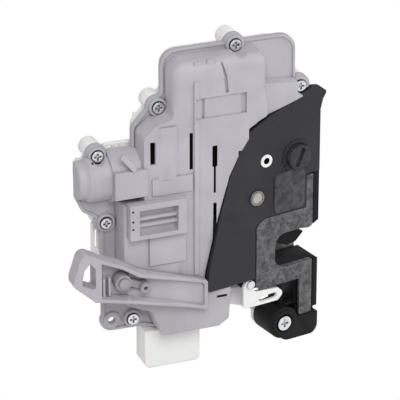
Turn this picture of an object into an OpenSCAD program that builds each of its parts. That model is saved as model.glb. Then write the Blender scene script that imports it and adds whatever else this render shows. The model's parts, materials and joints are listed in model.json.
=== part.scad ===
/* [Housing] */
// Turn of the housing about the vertical, against the latch plate
housing_turn = 12; // [8:1:16]
// Height of the housing's top edge over the fixing bush
housing_top = 70.5; // [69:0.5:72]
// Reach of the motor's end of the housing to the left of the bush
housing_left = 109; // [107.5:0.5:110]
// Depth of the flange's front plane behind the latch plate's front
flange_v = 10; // [9:0.5:12]
// Thickness of the front housing's flange
flange_t = 2.6; // [2:0.2:3.4]
// Height of the front housing's raised form over its flange
bulge_h = 15; // [13:0.5:17]
// Height of the bead along the flange's edge
rim_h = 0.8; // [0.4:0.1:1]
// Width of that bead
rim_w = 1.5; // [1:0.1:2]
// Wall of both housing halves
wall = 2; // [1.6:0.1:2.4]
// Thickness of the seal between the halves
seal_t = 0.8; // [0.6:0.1:1.2]
// Depth of the rear housing's tray
rear_h = 10; // [9:0.5:11]
// Depth of the slots in the raised form
slot_depth = 5; // [3:0.5:6]
// Height of the ribs on the rear housing's back
rib_h = 1.6; // [1:0.2:2]
// Thickness of those ribs
rib_t = 1.4; // [1:0.1:1.8]
// Distance between those ribs
rib_pitch = 18; // [14:1:18]
/* [Cable bracket] */
// Reach of the bracket's loop to the left of the bush
loop_left = 119; // [117:0.5:121]
// Height of the bracket's flanges over its back wall
bracket_h = 9.8; // [8:0.2:11]
// Thickness of the bracket's walls
bracket_t = 1.8; // [1.4:0.2:2.2]
/* [Connector] */
// Width of the connector's shroud
socket_w = 33; // [30:0.5:34]
// Depth of the shroud, front to back
socket_d = 15; // [13:0.5:16]
// Height of the shroud below the housing
socket_h = 23.5; // [20:0.5:26]
// Radius of a plug pin
pin_r = 0.6; // [0.5:0.05:0.8]
/* [Motor] */
// Outer radius of the motor barrel
barrel_r = 15; // [14.5:0.25:15.5]
// Radius of the lock motor's can
motor_r = 10; // [9:0.2:10.4]
// Length of the lock motor's can
motor_l = 27; // [24:1:28]
// Radius of the motor's shaft
shaft_r = 1; // [0.8:0.1:1.2]
// Outer radius of the worm's thread
worm_r = 4; // [3.8:0.1:4.4]
// Length of the worm
worm_l = 13; // [12:0.5:14]
// Radius of the lock sector's axle
sector_pin_r = 1.5; // [1.2:0.1:1.8]
/* [Latch] */
// Thickness of the latch cover's front wall
cover_t = 1.8; // [1.4:0.1:2.2]
// Depth of the latch cover's side band
band_h = 6.5; // [5.5:0.5:7.5]
// Width of the latch plate's right edge from the bush
latch_right = 36.5; // [35.5:0.5:38]
// Depth of the latch from the cover's front to the back plate
latch_d = 20.5; // [20:0.5:22]
// Thickness of the steel plates
steel_t = 2; // [1.6:0.1:2.4]
// Height of the mouth that takes the striker
mouth_h = 21.5; // [18:0.5:22]
// Thickness of the claw and the pawl
claw_t = 6; // [5:0.5:6.5]
/* [Pins and screws] */
// Radius of the claw's pin
claw_pin_r = 4; // [3:0.25:4.5]
// Radius of the pawl's pin
pawl_pin_r = 3; // [2.5:0.25:3.5]
// Radial running clearance of every turning bore
run_gap = 0.06; // [0.04:0.01:0.1]
// Gap between pieces that move past each other
side_gap = 0.4; // [0.3:0.1:0.6]
// Radius of the cover screws' heads
head_r = 3.3; // [3:0.1:3.6]
// Radius of the cover screws' shanks
shank_r = 1.7; // [1.4:0.1:2]
// Radius of the fixing bush's bore
bush_bore_r = 1.9; // [1.6:0.1:2.2]
/* [Motion] */
// Turn of the claw from open to closed
claw_swing = 50; // [40:1:55]

/* [Hidden] */
$fn = 48;
eps = 0.01;
flange_back = flange_t;
rear_front = flange_back + seal_t;
rear_back = rear_front + rear_h;
bulge_v = -bulge_h;
tray_inset = 4;
socket_left = -70;
socket_top = -97.5;
socket_v = -3;
pin_v = socket_v + socket_d / 2;
pin_row = [for (i = [0:6]) socket_left + socket_w / 2 + (i - 3) * 4];
arm_front = 17;
strap_front = -0.4;
strap_head = -1.6;
cover_screw_at = [[-16, housing_top - 1.5], [23, 39], [-61, 38.5], [-96.5, 15], [-92, -26], [-77, -88]];
boss_r = 6.2;
lug_at = [-89, -87.5];
lug_hole_r = 2.2;
motor_w = 1.5;
motor_u = -99.8;
gear_module = 0.8;
worm_pitch = PI * gear_module;
sector_teeth = 24;
sector_r = gear_module * (sector_teeth / 2 + 1);
worm_core = worm_r - 2.2 * gear_module;
sector_at = [-59.5, motor_w + gear_module * sector_teeth / 2 + worm_r - gear_module];
tooth_w = 0.85;
thread_foot = 1.35;
thread_top = 0.4;
thread_turns = 4.4;
thread_turn = 290;
claw_at = [7, -37];
pawl_at = [-6.2, -21.2];
claw_front = cover_t + 0.2 + steel_t + side_gap;
claw_back = claw_front + claw_t;
body_floor = claw_back + side_gap;
plate_front = cover_t + 0.2;
plate_back = plate_front + steel_t;
mouth_mid = -58.7;
mouth_left = 7;
rotor_at = [20.5, -1.5];
rotor_r = 7.3;
collar_r = 9.8;
eye_at = [13, -104.7];
eye_r = 9.6;
release_front = 1.5;
release_t = 2.2;
claw_closed = 15.6;
pawl_lift = 9;
lever_pivot = [-90, -53];
bracket_v = bulge_v - 3;
lever_t = 2.6;
lever_v = bracket_v - side_gap - lever_t;
lever_l = 14.5;
lever_rest = 24;
lever_pin_r = 2;
bulge_top = housing_top - 3.5;
lug_r = 6.5;
boss_h = 2.5;
groove_y = 3.4;

function unit(v) = v / norm(v);
// An inset copy of an outline whose points run anticlockwise
function inset(p, d) = [for (i = [0:len(p) - 1])
    let (a = p[(i + len(p) - 1) % len(p)], b = p[i], c = p[(i + 1) % len(p)],
        e1 = unit([b.x - a.x, b.y - a.y]), e2 = unit([c.x - b.x, c.y - b.y]),
        n1 = [-e1.y, e1.x], n2 = [-e2.y, e2.x], k = d / (1 + n1 * n2))
    [b.x + k * (n1.x + n2.x), b.y + k * (n1.y + n2.y), b.z]];
// The arc that rounds the corner b between a and c
function arc(a, b, c, r, n) = let (u = unit(a - b), v = unit(c - b), half = acos(u * v) / 2,
        m = unit(u + v), o = b + m * (r / sin(half)), t = r / tan(half),
        p = b + u * t - o, q = b + v * t - o, s = atan2(p.y, p.x),
        d = (atan2(q.y, q.x) - s + 540) % 360 - 180)
    [for (i = [0:n]) o + r * [cos(s + d * i / n), sin(s + d * i / n)]];
function flat(v) = [v.x, v.y];
// An outline of points [x, y, corner radius] with its corners rounded
function rounded(p, n = 5) = [for (i = [0:len(p) - 1])
    let (a = p[(i + len(p) - 1) % len(p)], b = p[i], c = p[(i + 1) % len(p)])
    each (b.z > 0 ? arc(flat(a), flat(b), flat(c), b.z, n) : [flat(b)])];

// Turns an outline drawn in X and Z into a slab from y0 to y1
module slab(y0, y1) {
    translate([0, y1, 0]) rotate([90, 0, 0]) linear_extrude(y1 - y0) children();
}
module in_housing() {
    rotate([0, 0, -housing_turn]) translate([0, flange_v, 0]) children();
}
// A round bar along Y at a place in X and Z
module bar(at, r, y0, y1) {
    translate([at.x, y1, at.y]) rotate([90, 0, 0]) cylinder(r = r, h = y1 - y0);
}
module box(x0, x1, y0, y1, z0, z1) {
    translate([x0, y0, z0]) cube([x1 - x0, y1 - y0, z1 - z0]);
}
flange_pts = [[-94.5, -94, 6], [-70, -94, 2], [-60, -97.5, 3], [-32, -97.5, 2], [-29, -95, 1],
    [-12, -93, 2], [-12, -73, 2], [-24.5, -73, 1], [-24.5, 14.5, 1], [26, 14.5, 2], [26, 36, 2],
    [20.5, 44, 3], [20.5, housing_top, 9], [-59, housing_top, 8.5], [-59, 46, 2], [-68, 37, 3], [-76, 28, 4],
    [-76, 14, 1.5], [-102, 14, 3], [-housing_left, 6, 3], [-housing_left, -9, 3], [-105, -18, 3], [-98, -22, 2],
    [-94.5, -31, 2]];
bulge_pts = [[-64, -95, 3], [-30, -95, 2], [-24, -91, 2], [-22, -60, 1], [-16, -58, 1],
    [-16, 8, 0.5], [-12.5, 10, 0.5], [-12.5, 23.5, 1], [-1.5, 30, 2], [-1.5, bulge_top, 6],
    [-56.5, bulge_top, 8], [-56.5, 36, 5], [-67, 33, 4], [-74, 27, 4], [-74, -12, 1],
    [-86, -12, 2], [-86, -72, 3], [-70, -79, 3]];
ramp_pts = [[-8, 16, 1], [17, 25, 3], [23, 33, 3], [20, 44, 3], [-8, 46, 1]];
// Outlines of the latch cover, the latch body and the claw's hooks
cover_pts = [[-38.8, -71.5, 2], [-6.8, -71.5, 0.5], [-6.8, -38, 4], [0, -35, 3], [27.5, -35, 1],
    [27.5, -14.5, 1], [36.4, -14.5, 0.6], [36.4, 23, 2], [38, 29, 2], [40.6, 33, 1.5],
    [35, 37.6, 1.5], [31, 38, 1.5], [17.6, 32.3, 20], [1.7, 26.3, 20], [-10.8, 20.3, 8],
    [-18.7, 7.6, 12], [-24.4, -4.9, 12], [-30.6, -27.6, 30], [-38, -60.4, 20]];
body_pts = [[13.5, -79.5, 1], [13.5, -96.5, 1], [23.4, -96.5, 0], [23.4, -104, 0],
    [latch_right, -104, 0], [latch_right, -14.5, 0.5], [34, -14.5, 0.5], [34, 10, 2], [-14, 10, 3], [-18.5, 0, 3], [-18.5, -70.5, 1],
    [-12, -71, 1], [-12, -79.5, 2]];
strap_pts = [[10, -114, 4], [15, -116.5, 8], [latch_right, -117, 5], [latch_right, -103.3, 0],
    [23, -103.3, 2], [19.5, -98.5, 3], [14, -97, 4]];

// Outline of the mouth, open to the right, with the upper jaw's bent lip
mouth_low = mouth_mid - mouth_h / 2;
mouth_high = mouth_mid + mouth_h / 2;
mouth_pts = [[mouth_left, mouth_low, 7], [60, mouth_low, 0], [60, mouth_high + 12, 0],
    [latch_right, mouth_high + 2.8, 0.5], [30, mouth_high - 0.8, 2], [24, mouth_high, 2],
    [mouth_left, mouth_high, 7]];
claw_pts = [[5, -26, 1], [11, -24.3, 2], [13.5, -19, 2], [14, -8, 3], [12, 3, 3], [7, 10, 3],
    [0, 12, 3], [-7, 9.8, 2], [-11.7, 3.5, 1], [-15.2, 2.5, 0.6], [-15.4, -0.8, 0.3],
    [-12.1, -0.8, 0.6], [-12, -7.5, 0.6], [-15, -11, 1], [-15, -18, 3], [-12, -23.5, 3],
    [-5, -26.3, 1]];
pawl_pts = [[-9.5, -14.8, 3], [-12.9, -24, 3], [-12.9, -43, 3], [-11.5, -48.3, 2], [-6, -46.5, 1],
    [-4.9, -41.75, 0.4], [-9.6, -43, 0.6], [-9.6, -29, 2], [-0.8, -24, 3], [0, -18, 3],
    [-4, -14.6, 3]];
// Outlines of the cable bracket, its loop and the loop's hole
bracket_pts = [[-108, -61, 2], [-85, -66, 3], [-38.5, -81, 1], [-38.5, -63, 1], [-80, -49, 4],
    [-90, -42, 4], [-108, -34, 2]];
loop_pts = [[-loop_left, -50, 2], [-107, -61, 2], [-103, -60, 1], [-103, -36, 1], [-112, -31, 3],
    [-115, -34, 2], [-loop_left, -46, 2]];
loop_hole = [[4.5 - loop_left, -50, 1], [-106.5, -53.5, 1], [-106.5, -41, 1], [-109.5, -37, 1],
    [-113, -41, 1]];
// Outlines of the release lever, the plates, the strap's arm and the raised pad
release_pts = [[-13.5, -89.5, 2], [10, -90, 2], [14.2, -86, 2.5], [10, -82, 2], [0, -80.9, 1],
    [-5, -80.6, 1], [-7.2, -78.6, 1], [-7.2, -72.4, 1.5], [-11.5, -72.2, 2], [-13.8, -77, 2]];
release_slot = [[-3, -88.3, 1.5], [9, -88, 1.5], [10, -84.6, 1.5], [-3, -84.6, 1.5]];
release_at = [-9, -75];
release_pin_r = 1.5;
face_pts = [[-5.6, -79, 3], [32.5, -79, 0], [32.5, 9, 2], [-13, 9, 2], [-17, 0, 2], [-17, -69, 2],
    [-5.6, -69, 0]];
frame_pts = [[-5.8, -79.5, 4], [24, -79.5, 1], [24, -103, 1], [32.5, -103, 1], [32.5, -15.5, 1],
    [28, -15.5, 1], [28, -35.6, 0], [0, -35.6, 3], [-5.8, -39, 3]];
back_pts = [[-12, -79, 2], [34, -79, 2], [34, 8, 3], [-12, 8, 3], [-17, 0, 3], [-17, -69, 2],
    [-12, -69, 0]];
side_rail = [[33, -100, 0], [latch_right, -100, 0], [latch_right, -14.5, 0.5], [33, -14.5, 0.5]];
arm_pts = [[-20, -82, 1], [-20, -90, 2], [-1, -97.5, 3], [4, -102, 3], [4, -110, 6],
    [14, -114, 6], [21, -110, 6], [21, -100, 5], [8, -97, 4], [-2, -84, 3]];
pad_pts = [[5.5, -34, 3], [26, -34, 3], [26, -9.5, 4], [5.5, -9.5, 4]];

module cover_outline() { polygon(rounded(cover_pts)); }
// Outline of the flange with its ears, drawn in by d
module flange_edge(d) {
    polygon(rounded(inset(flange_pts, d)));
    for (p = cover_screw_at) circle_at(p, boss_r - d);
    circle_at(lug_at, lug_r - d);
}
// The flange, with a raised bead along its edge
module flange() {
    difference() {
        slab(-rim_h, flange_back) flange_edge(0);
        slab(-rim_h - 1, 0) flange_edge(rim_w);
    }
}
module circle_at(at, r) { translate(at) circle(r = r); }
module pocket(u0, u1, v0, v1, w0, w1) { box(u0, u1, v0, v1, w0, w1); }
// Draws in the latch's frame from within the housing's
module in_latch() {
    translate([0, -flange_v, 0]) rotate([0, 0, housing_turn]) children();
}
// Space that the latch body and its plates need in the housing
module body_space() {
    box(-19.2, 60, -30, latch_d + steel_t + side_gap, -80, 10.8);
    box(-19.2, 60, -30, latch_d, -140, -79);
}
// Space that the latch cover needs in the raised form
module cover_space() {
    intersection() {
        in_latch() for (d = [-side_gap, side_gap]) translate([-side_gap, 0, d])
            slab(-30, band_h + side_gap) cover_outline();
        box(-200, 200, -60, -eps, -200, 200);
    }
}
module motor_form(r, v0) {
    translate([0, v0, motor_w]) rotate([0, 90, 0]) {
        translate([0, 0, -91]) cylinder(r = r, h = 20);
        translate([0, 0, -101.5]) cylinder(r = r - 1.5, h = 11);
        translate([0, 0, -109]) cylinder(r = r - 4, h = 8, $fn = 10);
    }
}
module housing_slots() {
    slot(-47.3, -45.5, 4.5, 26);
    slot(-70.3, -67.3, 10.5, 24);
    slot(-34, -31.2, 4, 16.5);
    slot(-33.2, -32, -12, 4);
    slot(-33.6, -31.6, -58, -18);
    pocket(-44, -14, bulge_v - 1, bulge_v + 0.8, 33.5, 45.5);
    pocket(-40, -38.6, bulge_v - 1, bulge_v + 1.8, 33.5, 45.5);
    pocket(-16.6, -14, bulge_v - 1, bulge_v + 1.8, 33.5, 45.5);
    slab(bulge_v - 1, bulge_v + 1.4) polygon(rounded([[-26.4, 47, 0.3], [-24.6, 47, 0.3],
        [-25.6, 56, 8], [-28.7, 67, 0.2], [-29.5, 66.5, 0.2], [-27, 56, 8]]));
    for (w = [-13.5, -19.5, -24]) bar([-82.3, w], 0.7, bulge_v - 6, bulge_v);
}
// A narrow slot in the raised form's front, deep enough to look black
module slot(u0, u1, w0, w1) { pocket(u0, u1, bulge_v - 1, bulge_v + slot_depth, w0, w1); }
// Forms that swell out of the raised form's front
module housing_swells() {
    intersection() {
        translate([-60.5, bulge_v + 10.4, 1]) cylinder(r = 12, h = 31);
        box(-72, -48, bulge_v - 3, bulge_v + 1, 0, 40);
    }
    slab(bulge_v - 1.2, bulge_v + 1) polygon([[-88, 18], [-80, 8], [-78, 10], [-86, 20]]);
}
module front_housing() {
    color([0.68, 0.67, 0.69]) in_housing() difference() {
        union() {
            flange();
            slab(bulge_v, 0.5) polygon(rounded(bulge_pts));
            slab(-8, 0.5) polygon(rounded(ramp_pts));
            intersection() {
                translate([0, 1, 0]) motor_form(barrel_r, 0);
                box(-115, -68, bulge_v - 5, flange_back, -40, 40);
            }
            difference() {
                box(-84, -51, bulge_v - 5, bulge_v + 1, -31, -10);
                pocket(-78.5, -56, bulge_v - 6, bulge_v + 2, -28.5, -13.5);
            }
            for (w = [-19.5, -23.5])
                box(-79, -55.5, bulge_v - 2.6, bulge_v + 0.5, w - 1, w + 1);
            box(-91, -72, bulge_v - 1, bulge_v + 2, -7, 9);
            box(-69.5, -46, bulge_v - 1, bulge_v + 1, -8, 2);
            housing_swells();
            box(-45, -42, bulge_v - 1, bulge_v + 1, -60, 56);
            box(-71.5, -50, bulge_v - 1, bulge_v + 1, -50, -32.5);
            for (p = cover_screw_at) bar(p, boss_r - 1, -boss_h, 1);
            bar(lug_at, lug_r - 1.5, -1.2, 1);
        }
        for (p = cover_screw_at) {
            bar(p, head_r + 0.5, bulge_v, -1.5);
            bar(p, shank_r + 0.3, -4, flange_back + 1);
        }
        bar(lug_at, lug_hole_r, -4, flange_back + 1);
        housing_slots();
        motor_cavity();
        gear_cavity();
        in_latch() body_space();
        cover_space();
    }
}
module motor_cavity() {
    translate([motor_u - 0.6, 0, motor_w]) rotate([0, 90, 0]) cylinder(r = motor_r + 0.6, h = 31);
}
module gear_cavity() {
    box(-70.5, -47, bulge_v + wall, flange_back + 1, -8, 22);
}
// Outline of the rear housing's tray, drawn in from the flange
function tray_pts(d) = inset(concat([[-94.5, -76, 4], [-73, -76, 3], [-67, -97.5, 3]],
    [for (i = [3:len(flange_pts) - 1]) flange_pts[i]]), tray_inset + d);
module rear_barrel(grow, v1) {
    intersection() {
        translate([-106, 0, motor_w]) rotate([0, 90, 0]) cylinder(r = motor_r + grow, h = 40);
        box(-120, -60, rear_front, v1, -30, 30);
    }
}
// The arm that reaches behind the latch to the strap's eye
module rear_arm() {
    in_latch() slab(arm_front, latch_d - 0.3) polygon(rounded(arm_pts));
}
module rear_housing() {
    color([0.9, 0.9, 0.88]) in_housing() difference() {
        union() {
            slab(rear_front, rear_back) polygon(rounded(tray_pts(0)));
            slab(rear_front, rear_front + 1.6) polygon(rounded(inset(flange_pts, 1)));
            rear_barrel(2.4, rear_back + 1);
            for (p = cover_screw_at) bar(p, boss_r - 0.7, rear_front, rear_front + 11);
            side_frame();
            top_bar();
            rear_ribs();
            difference() {
                rear_arm();
                in_latch() bar(eye_at, shank_r, 0, 40);
                box(-60, 60, -20, rear_front, -130, 0);
            }
        }
        difference() {
            slab(rear_front - 1, rear_back - wall) polygon(rounded(tray_pts(wall)));
            for (p = cover_screw_at) bar(p, 4.5, rear_front - 2, rear_back);
        }
        translate([-104, 0, motor_w]) rotate([0, 90, 0]) cylinder(r = motor_r + 0.5, h = 40);
        for (p = cover_screw_at) bar(p, shank_r, rear_front - 1, rear_front + 10);
        bar(lug_at, 7, rear_front - 1, rear_back + 9);
        difference() {
            in_latch() body_space();
            rear_arm();
        }
    }
}
// The slotted frame that stands out at the left, and the slotted bar over the barrel
module side_frame() {
    difference() {
        box(-97.5, -90, 6, 9, -48, -29);
        box(-95.9, -94.2, 5, 10, -45, -33);
    }
}
module top_bar() {
    difference() {
        box(-90, -73, 6, 9, 9, 17.5);
        for (u = [-88, -83.5, -79]) box(u, u + 3, 5, 11, 14.5, 16);
    }
}
// Stiffening ribs on the back wall
module rear_ribs() {
    slab(rear_back - 0.1, rear_back + rib_h) difference() {
        polygon(rounded(tray_pts(3)));
        polygon(rounded(tray_pts(3 + rib_t)));
    }
    for (w = [-78:rib_pitch:-24]) box(-84, -34, rear_back - 0.1, rear_back + rib_h, w, w + rib_t);
    for (u = [-70:rib_pitch:-34]) box(u, u + rib_t, rear_back - 0.1, rear_back + rib_h, -86, 60);
    box(-52, 12, rear_back - 0.1, rear_back + rib_h, 40, 40 + rib_t);
}
module housing_seal() {
    color([0.2, 0.2, 0.21]) in_housing() difference() {
        union() {
            slab(flange_back, rear_front) difference() {
                polygon(rounded(inset(flange_pts, 1.2)));
                polygon(rounded(inset(flange_pts, 2.8)));
            }
            for (p = cover_screw_at) bar(p, 3.4, flange_back, rear_front);
        }
        for (p = cover_screw_at) bar(p, shank_r + 0.3, 0, rear_back);
        in_latch() body_space();
    }
}
module screw(at, v, l) {
    difference() {
        union() {
            bar(at, head_r, v, v + 2);
            bar(at, shank_r, v + 1.5, v + 2 + l);
        }
        for (a = [0, 90]) translate([at.x, v, at.y]) rotate([0, a, 0])
            box(-2, 2, -1, 1.1, -0.45, 0.45);
    }
}
module cover_screws() {
    color([0.75, 0.75, 0.76]) in_housing() for (p = cover_screw_at) screw(p, -3.5, 13);
}
module connector_socket() {
    color([0.92, 0.92, 0.9]) in_housing() difference() {
        slab(socket_v, socket_v + socket_d) polygon(rounded([[socket_left, socket_top - socket_h, 3],
            [socket_left + socket_w, socket_top - socket_h, 3], [socket_left + socket_w, socket_top, 0],
            [socket_left, socket_top, 0]]));
        box(socket_left + wall, socket_left + socket_w - wall, socket_v + wall,
            socket_v + socket_d - wall, socket_top - socket_h - 1, socket_top - 10);
        for (u = pin_row) translate([u, pin_v, socket_top - 11]) cylinder(r = pin_r, h = 4.5);
    }
}
module plug_pins() {
    color([0.8, 0.75, 0.55]) in_housing()
        for (u = pin_row) translate([u, pin_v, socket_top - 17]) cylinder(r = pin_r, h = 10.5);
}
module cable_bracket() {
    color([0.66, 0.65, 0.67]) in_housing() difference() {
        union() {
            slab(bracket_v, bracket_v + bracket_t) polygon(rounded(bracket_pts));
            slab(bracket_v - bracket_h + bracket_t, bracket_v + bracket_t) difference() {
                polygon(rounded(bracket_pts));
                polygon(rounded(inset(bracket_pts, bracket_t + 0.2)));
            }
            slab(bracket_v - bracket_h + bracket_t, bracket_v + bracket_t)
                polygon(rounded(loop_pts));
            cable_seat();
        }
        slab(bracket_v - bracket_h - 1, bracket_v + bracket_t + 1) polygon(rounded(loop_hole));
        for (u = [-103.2, -86.2]) box(u, u + 1.6, bracket_v - 1, bulge_v, -60, -49);
        box(-83, -76, bracket_v - 1, bulge_v, -60, -58.4);
        in_latch() body_space();
        bar(lever_pivot, lever_pin_r + run_gap, bracket_v - bracket_h, bulge_v);
    }
}
// The curved seat that the cable's end lies in, left of the lever
module cable_seat() {
    for (u = [-101, -97.8]) slab(bracket_v - 4, bracket_v + eps) difference() {
        box_outline(u, u + 1.2, -61, -46);
        translate([u, -45]) circle(r = 5);
    }
}
module box_outline(x0, x1, y0, y1) { translate([x0, y0]) square([x1 - x0, y1 - y0]); }
module cable_lever() {
    color([0.5, 0.5, 0.51]) in_housing() translate([lever_pivot.x, 0, lever_pivot.y])
        rotate([0, lever_rest, 0]) difference() {
        union() {
            bar([0, 0], 4.6, lever_v - 4, lever_v + lever_t);
            box(0, lever_l, lever_v, lever_v + lever_t, -2, 2);
            bar([lever_l, 0], 3, lever_v - 3, lever_v + lever_t);
        }
        bar([0, 0], lever_pin_r + run_gap, lever_v - 6, bulge_v);
        bar([lever_l, 0], 1.2, lever_v - 6, bulge_v);
    }
}
module cable_lever_pin() {
    color([0.7, 0.7, 0.7]) in_housing() {
        bar(lever_pivot, lever_pin_r, lever_v - 4.4, bracket_v + bracket_t);
        bar(lever_pivot, lever_pin_r + 1, lever_v - 5.4, lever_v - 4.4);
    }
}
module lock_motor() {
    color([0.6, 0.6, 0.62]) in_housing()
        translate([motor_u, 0, motor_w]) rotate([0, 90, 0]) {
            cylinder(r = motor_r, h = motor_l);
            translate([0, 0, motor_l]) cylinder(r = shaft_r, h = 20.6);
        }
}
// The worm's thread: a ridge swept along a helix round the X axis
module worm_thread() {
    steps = 20;
    n = round(thread_turns * steps);
    section = [[worm_core - 0.3, -thread_foot / 2], [worm_r, -thread_top / 2],
        [worm_r, thread_top / 2], [worm_core - 0.3, thread_foot / 2]];
    polyhedron(
        points = [for (i = [0:n]) for (q = section)
            [(i / steps - thread_turns / 2) * worm_pitch + q[1], q[0] * sin(i * 360 / steps),
                -q[0] * cos(i * 360 / steps)]],
        faces = [[3, 2, 1, 0], [4 * n, 4 * n + 1, 4 * n + 2, 4 * n + 3],
            for (i = [0:n - 1]) for (k = [0:3]) let (a = 4 * i + k, b = 4 * i + (k + 1) % 4)
                each [[a, b + 4, a + 4], [a, b, b + 4]]]);
}
module worm() {
    color([0.85, 0.85, 0.8]) in_housing() translate([sector_at.x, 0, motor_w]) difference() {
        union() {
            translate([-worm_l / 2, 0, 0]) rotate([0, 90, 0]) cylinder(r = worm_core, h = worm_l);
            rotate([thread_turn, 0, 0]) worm_thread();
        }
        translate([-worm_l, 0, 0]) rotate([0, 90, 0]) cylinder(r = shaft_r + run_gap, h = 2 * worm_l);
    }
}
// One tooth of the lock sector, pointing down from the axle
module sector_tooth() {
    polygon([[-tooth_w, -sector_r + 2.1], [tooth_w, -sector_r + 2.1],
        [tooth_w * 0.42, -sector_r], [-tooth_w * 0.42, -sector_r]]);
}
module lock_sector() {
    color([0.9, 0.88, 0.8]) in_housing() translate([sector_at.x, 0, sector_at.y]) difference() {
        union() {
            bar([0, 0], 4, -5, 4);
            slab(-1.5, 1.5) {
                intersection() {
                    circle(r = sector_r - 2);
                    polygon([[-12, -16], [12, -16], [9, 0], [3, 4], [-3, 4], [-9, 0]]);
                }
                for (i = [-3:3]) rotate(i * 360 / sector_teeth) sector_tooth();
            }
            bar([0, -5.6], 1.4, -5, -1.4);
        }
        bar([0, 0], sector_pin_r + run_gap, -8, 8);
    }
}
module sector_pin() {
    color([0.7, 0.7, 0.7]) in_housing() bar(sector_at, sector_pin_r, bulge_v + wall, rear_back - wall);
}
module micro_switches() {
    color([0.15, 0.15, 0.15]) in_housing() {
        box(-44, -32, rear_back - wall - 7, rear_back - wall, 20, 27);
        box(-44, -32, rear_back - wall - 7, rear_back - wall, -10, -3);
    }
}
module contact_strips() {
    color([0.8, 0.65, 0.4]) in_housing() {
        box(-50, -48.6, rear_back - wall - 1, rear_back - wall, -90, 26);
        box(-54, -52.6, rear_back - wall - 1, rear_back - wall, -90, 12);
    }
}
module latch_cover() {
    color([0.16, 0.16, 0.17]) difference() {
        union() {
            slab(0, band_h) cover_outline();
            bar(rotor_at, collar_r, -1, cover_t);
            slab(-0.8, cover_t) polygon(rounded(pad_pts));
        }
        slab(cover_t, band_h + 1) polygon(rounded(inset(cover_pts, 1.6)));
        slab(cover_t, band_h + 1) polygon([[-18.9, -80], [40, -80], [40, -10], [34.4, -10],
            [34.4, 10.4], [-15, 10.4], [-18.9, 0.4]]);
        slab(groove_y, groove_y + 0.7) difference() {
            polygon(rounded(inset(cover_pts, -1)));
            polygon(rounded(inset(cover_pts, 0.6)));
        }
        bar(rotor_at, rotor_r + run_gap, -2, cover_t + 1);
        for (a = [165, 205]) translate([rotor_at.x, 0, rotor_at.y]) rotate([0, -a, 0])
            box(collar_r - 1.2, collar_r + 1, -2, -0.2, -0.8, 0.8);
        bar([0, 0], 3.9, -1, cover_t + 1);
        bar(pawl_at, 4.7, -1, cover_t + 1);
        in_housing() box(-120, 60, -side_gap, 60, -120, 80);
    }
}
module mouth() { slab(-1, latch_d + 1) polygon(rounded(mouth_pts)); }
module face_plate() {
    color([0.37, 0.37, 0.38]) difference() {
        union() {
            slab(plate_front, plate_back) polygon(rounded(face_pts));
            slab(0.4, plate_front + eps) polygon(rounded(frame_pts));
        }
        mouth();
        bar(claw_at, claw_pin_r + run_gap, plate_front, 8);
        bar(pawl_at, 4.6, -1, plate_front);
        bar(pawl_at, pawl_pin_r + run_gap, -1, 8);
        bar([0, 0], 3, -1, 8);
        bar(rotor_at, rotor_r + 0.5, -1, 8);
    }
}
// A torsion spring of closed turns round a bar along Y, with one leg
module torsion_spring(at, r, wire_r, y0, turns, leg, leg_turn) {
    for (i = [0:turns - 1]) translate([at.x, y0 + wire_r * (1 + 1.8 * i), at.y])
        rotate([90, 0, 0]) rotate_extrude() translate([r, 0]) circle(r = wire_r, $fn = 16);
    translate([at.x, y0 + wire_r, at.y]) rotate([0, leg_turn, 0]) translate([0, 0, r])
        rotate([0, 90, 0]) cylinder(r = wire_r * 0.95, h = leg, $fn = 16);
}
module latch_body() {
    color([0.13, 0.13, 0.14]) difference() {
        union() {
            slab(plate_back, latch_d) polygon(rounded(body_pts));
            slab(0.4, plate_back + eps) polygon(rounded(side_rail));
            slab(strap_front, arm_front - side_gap) {
                circle_at(eye_at, eye_r);
                polygon(rounded(strap_pts));
            }
            bar(eye_at, eye_r - 1.8, strap_front - 0.8, 1);
        }
        slab(plate_back, body_floor) intersection() {
            union() {
                translate(claw_at) circle(r = 28);
                polygon([[-16.6, -8], [10, -8], [10, -50], [-16.6, -50]]);
            }
            polygon([[-16.8, -70], [34.8, -70], [34.8, -9], [-16.8, -9]]);
        }
        mouth();
        bar(claw_at, claw_pin_r + run_gap, 0, latch_d + 1);
        bar(claw_at, 8.6, 0, body_floor + 5);
        bar(pawl_at, pawl_pin_r + run_gap, 0, latch_d + 1);
        bar(pawl_at, 5.6, 0, body_floor + 4);
        bar([0, 0], 2.9 + run_gap, 0, 13);
        bar(rotor_at, rotor_r + run_gap, 0, 13);
        bar(eye_at, 2, -1, latch_d + 1);
        box(-10, 22.5, arm_front - side_gap, latch_d + 1, -118, -79.3);
        bar(eye_at, 5.4, strap_front - 2, strap_head + 2.6);
        bar(release_at, release_pin_r, 0, 12);
        box(2, mouth_left + 1, body_floor + 1, 18, mouth_mid - 6, mouth_mid + 6);
        slab(-1, latch_d + 1) polygon([[14.5, -95], [23, -95], [23, -81.5], [14.5, -81.5]]);
    }
}
module back_plate() {
    color([0.6, 0.6, 0.62]) difference() {
        slab(latch_d, latch_d + steel_t) polygon(rounded(back_pts));
        bar(claw_at, claw_pin_r + run_gap, latch_d - 1, latch_d + 5);
        bar(pawl_at, pawl_pin_r + run_gap, latch_d - 1, latch_d + 5);
    }
}
module claw() {
    color([0.1, 0.1, 0.11]) translate([claw_at.x, 0, claw_at.y])
        rotate([0, -claw_closed - claw_swing, 0]) difference() {
            slab(claw_front, claw_back) difference() {
                polygon(rounded(claw_pts, 3));
                translate([0, -22.3]) circle(r = 5);
                translate([-5, -40]) square([10, 17.7]);
            }
            bar([0, 0], claw_pin_r + run_gap, 0, 20);
        }
}
module claw_pin() {
    color([0.7, 0.7, 0.7]) bar(claw_at, claw_pin_r, plate_front, latch_d + steel_t);
}
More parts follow.
